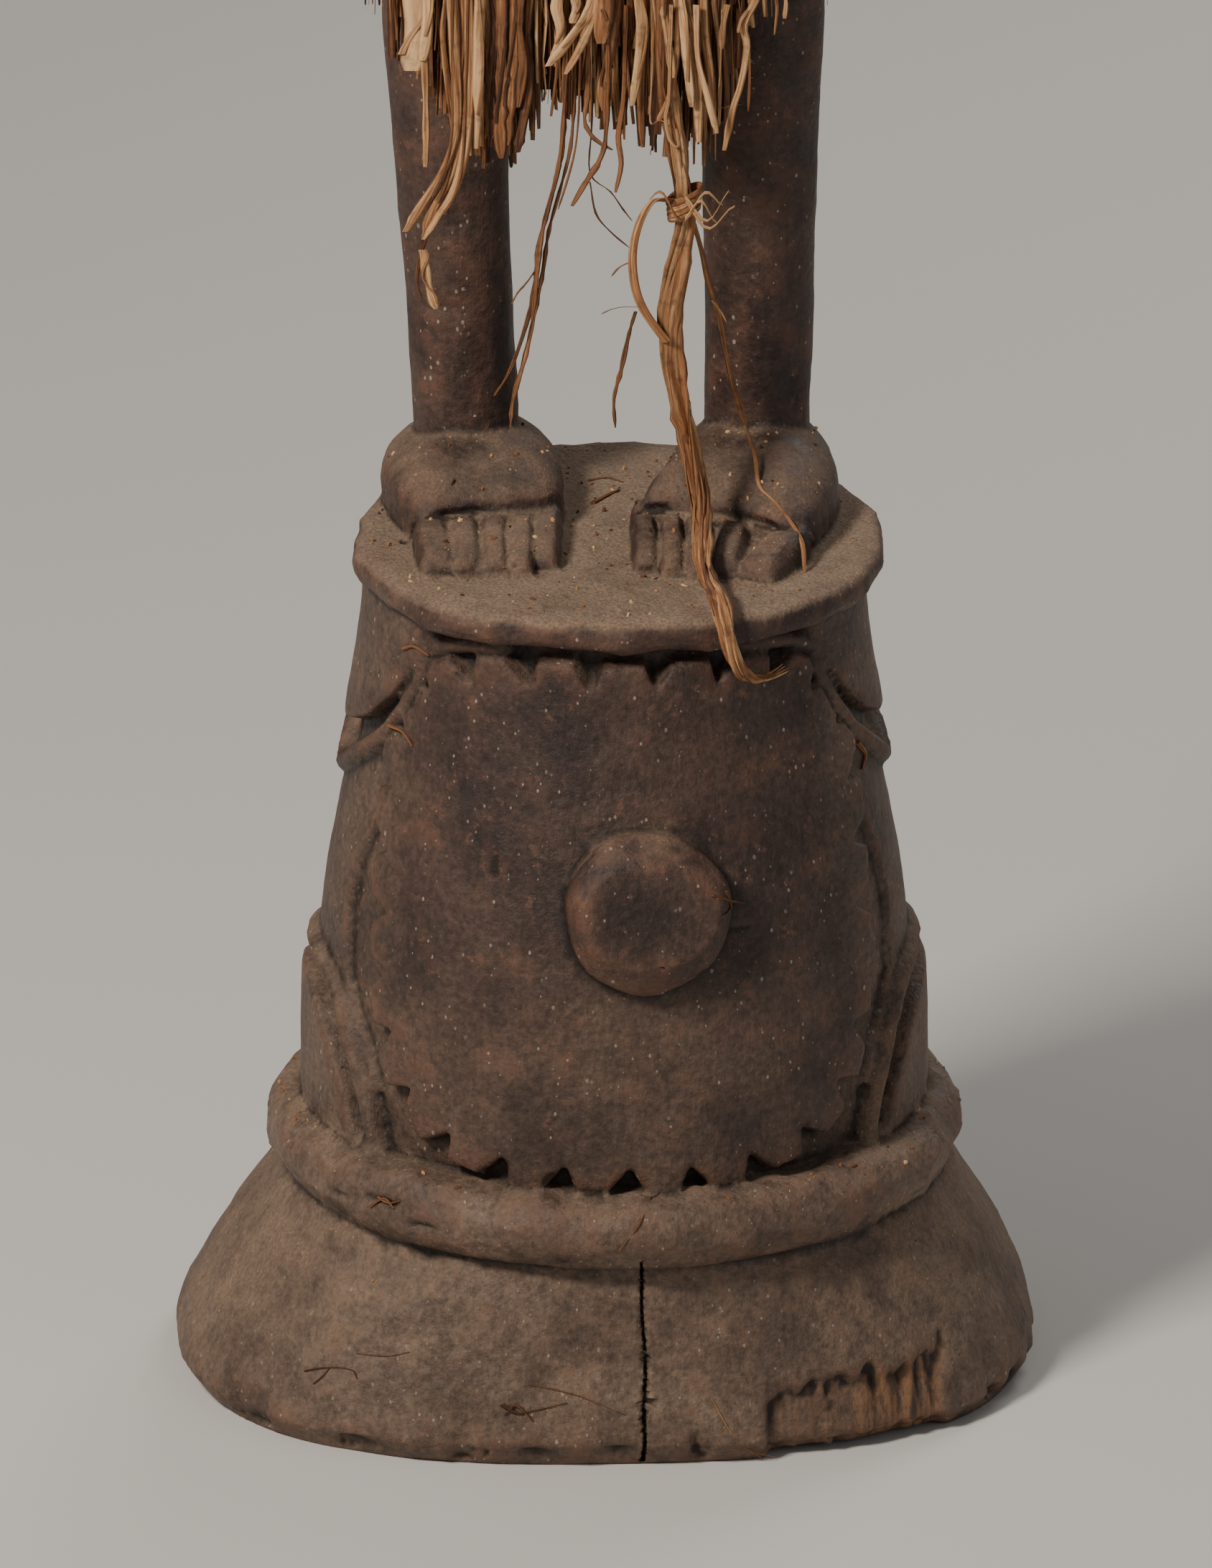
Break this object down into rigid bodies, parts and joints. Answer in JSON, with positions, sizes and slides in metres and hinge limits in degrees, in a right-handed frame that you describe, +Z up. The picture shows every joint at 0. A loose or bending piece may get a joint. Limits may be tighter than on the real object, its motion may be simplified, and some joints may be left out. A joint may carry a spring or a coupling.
{
  "type": "standing wooden figure",
  "caption": "Figure carved from one log, standing on a round platform over a bell-shaped pedestal with a toothed panel and boss, in a skirt of bark fibre.",
  "frame": {"origin": "middle of the pedestal's underside, at the bottom centre of the whole object", "axes": "+Z up along the figure's height, the front faces -Y, +X to the right seen from the front"},
  "size_m": [0.298, 0.24, 0.9225],
  "materials": {
    "carved_wood": "dark brown, hand cut, worn and dusty, matt",
    "bark_fibre": "dry shredded bark, orange brown to pale straw, matt",
    "twisted_cord": "twisted bark cord, matt"
  },
  "bodies": {
    "root": {"carved_figure": "carved_wood", "waist_cord": "twisted_cord", "long_strand": "bark_fibre", "strand_knot": "bark_fibre", "fibre_bunch_01": "bark_fibre", "fibre_bunch_02": "bark_fibre", "fibre_bunch_03": "bark_fibre", "fibre_bunch_04": "bark_fibre", "fibre_bunch_05": "bark_fibre", "fibre_bunch_06": "bark_fibre", "fibre_bunch_07": "bark_fibre", "fibre_bunch_08": "bark_fibre", "fibre_bunch_09": "bark_fibre", "fibre_bunch_10": "bark_fibre", "fibre_bunch_11": "bark_fibre", "fibre_bunch_12": "bark_fibre", "fibre_bunch_13": "bark_fibre", "fibre_bunch_14": "bark_fibre", "fibre_bunch_15": "bark_fibre", "fibre_bunch_16": "bark_fibre", "fibre_bunch_17": "bark_fibre", "fibre_bunch_18": "bark_fibre"}
  },
  "joints": []
}
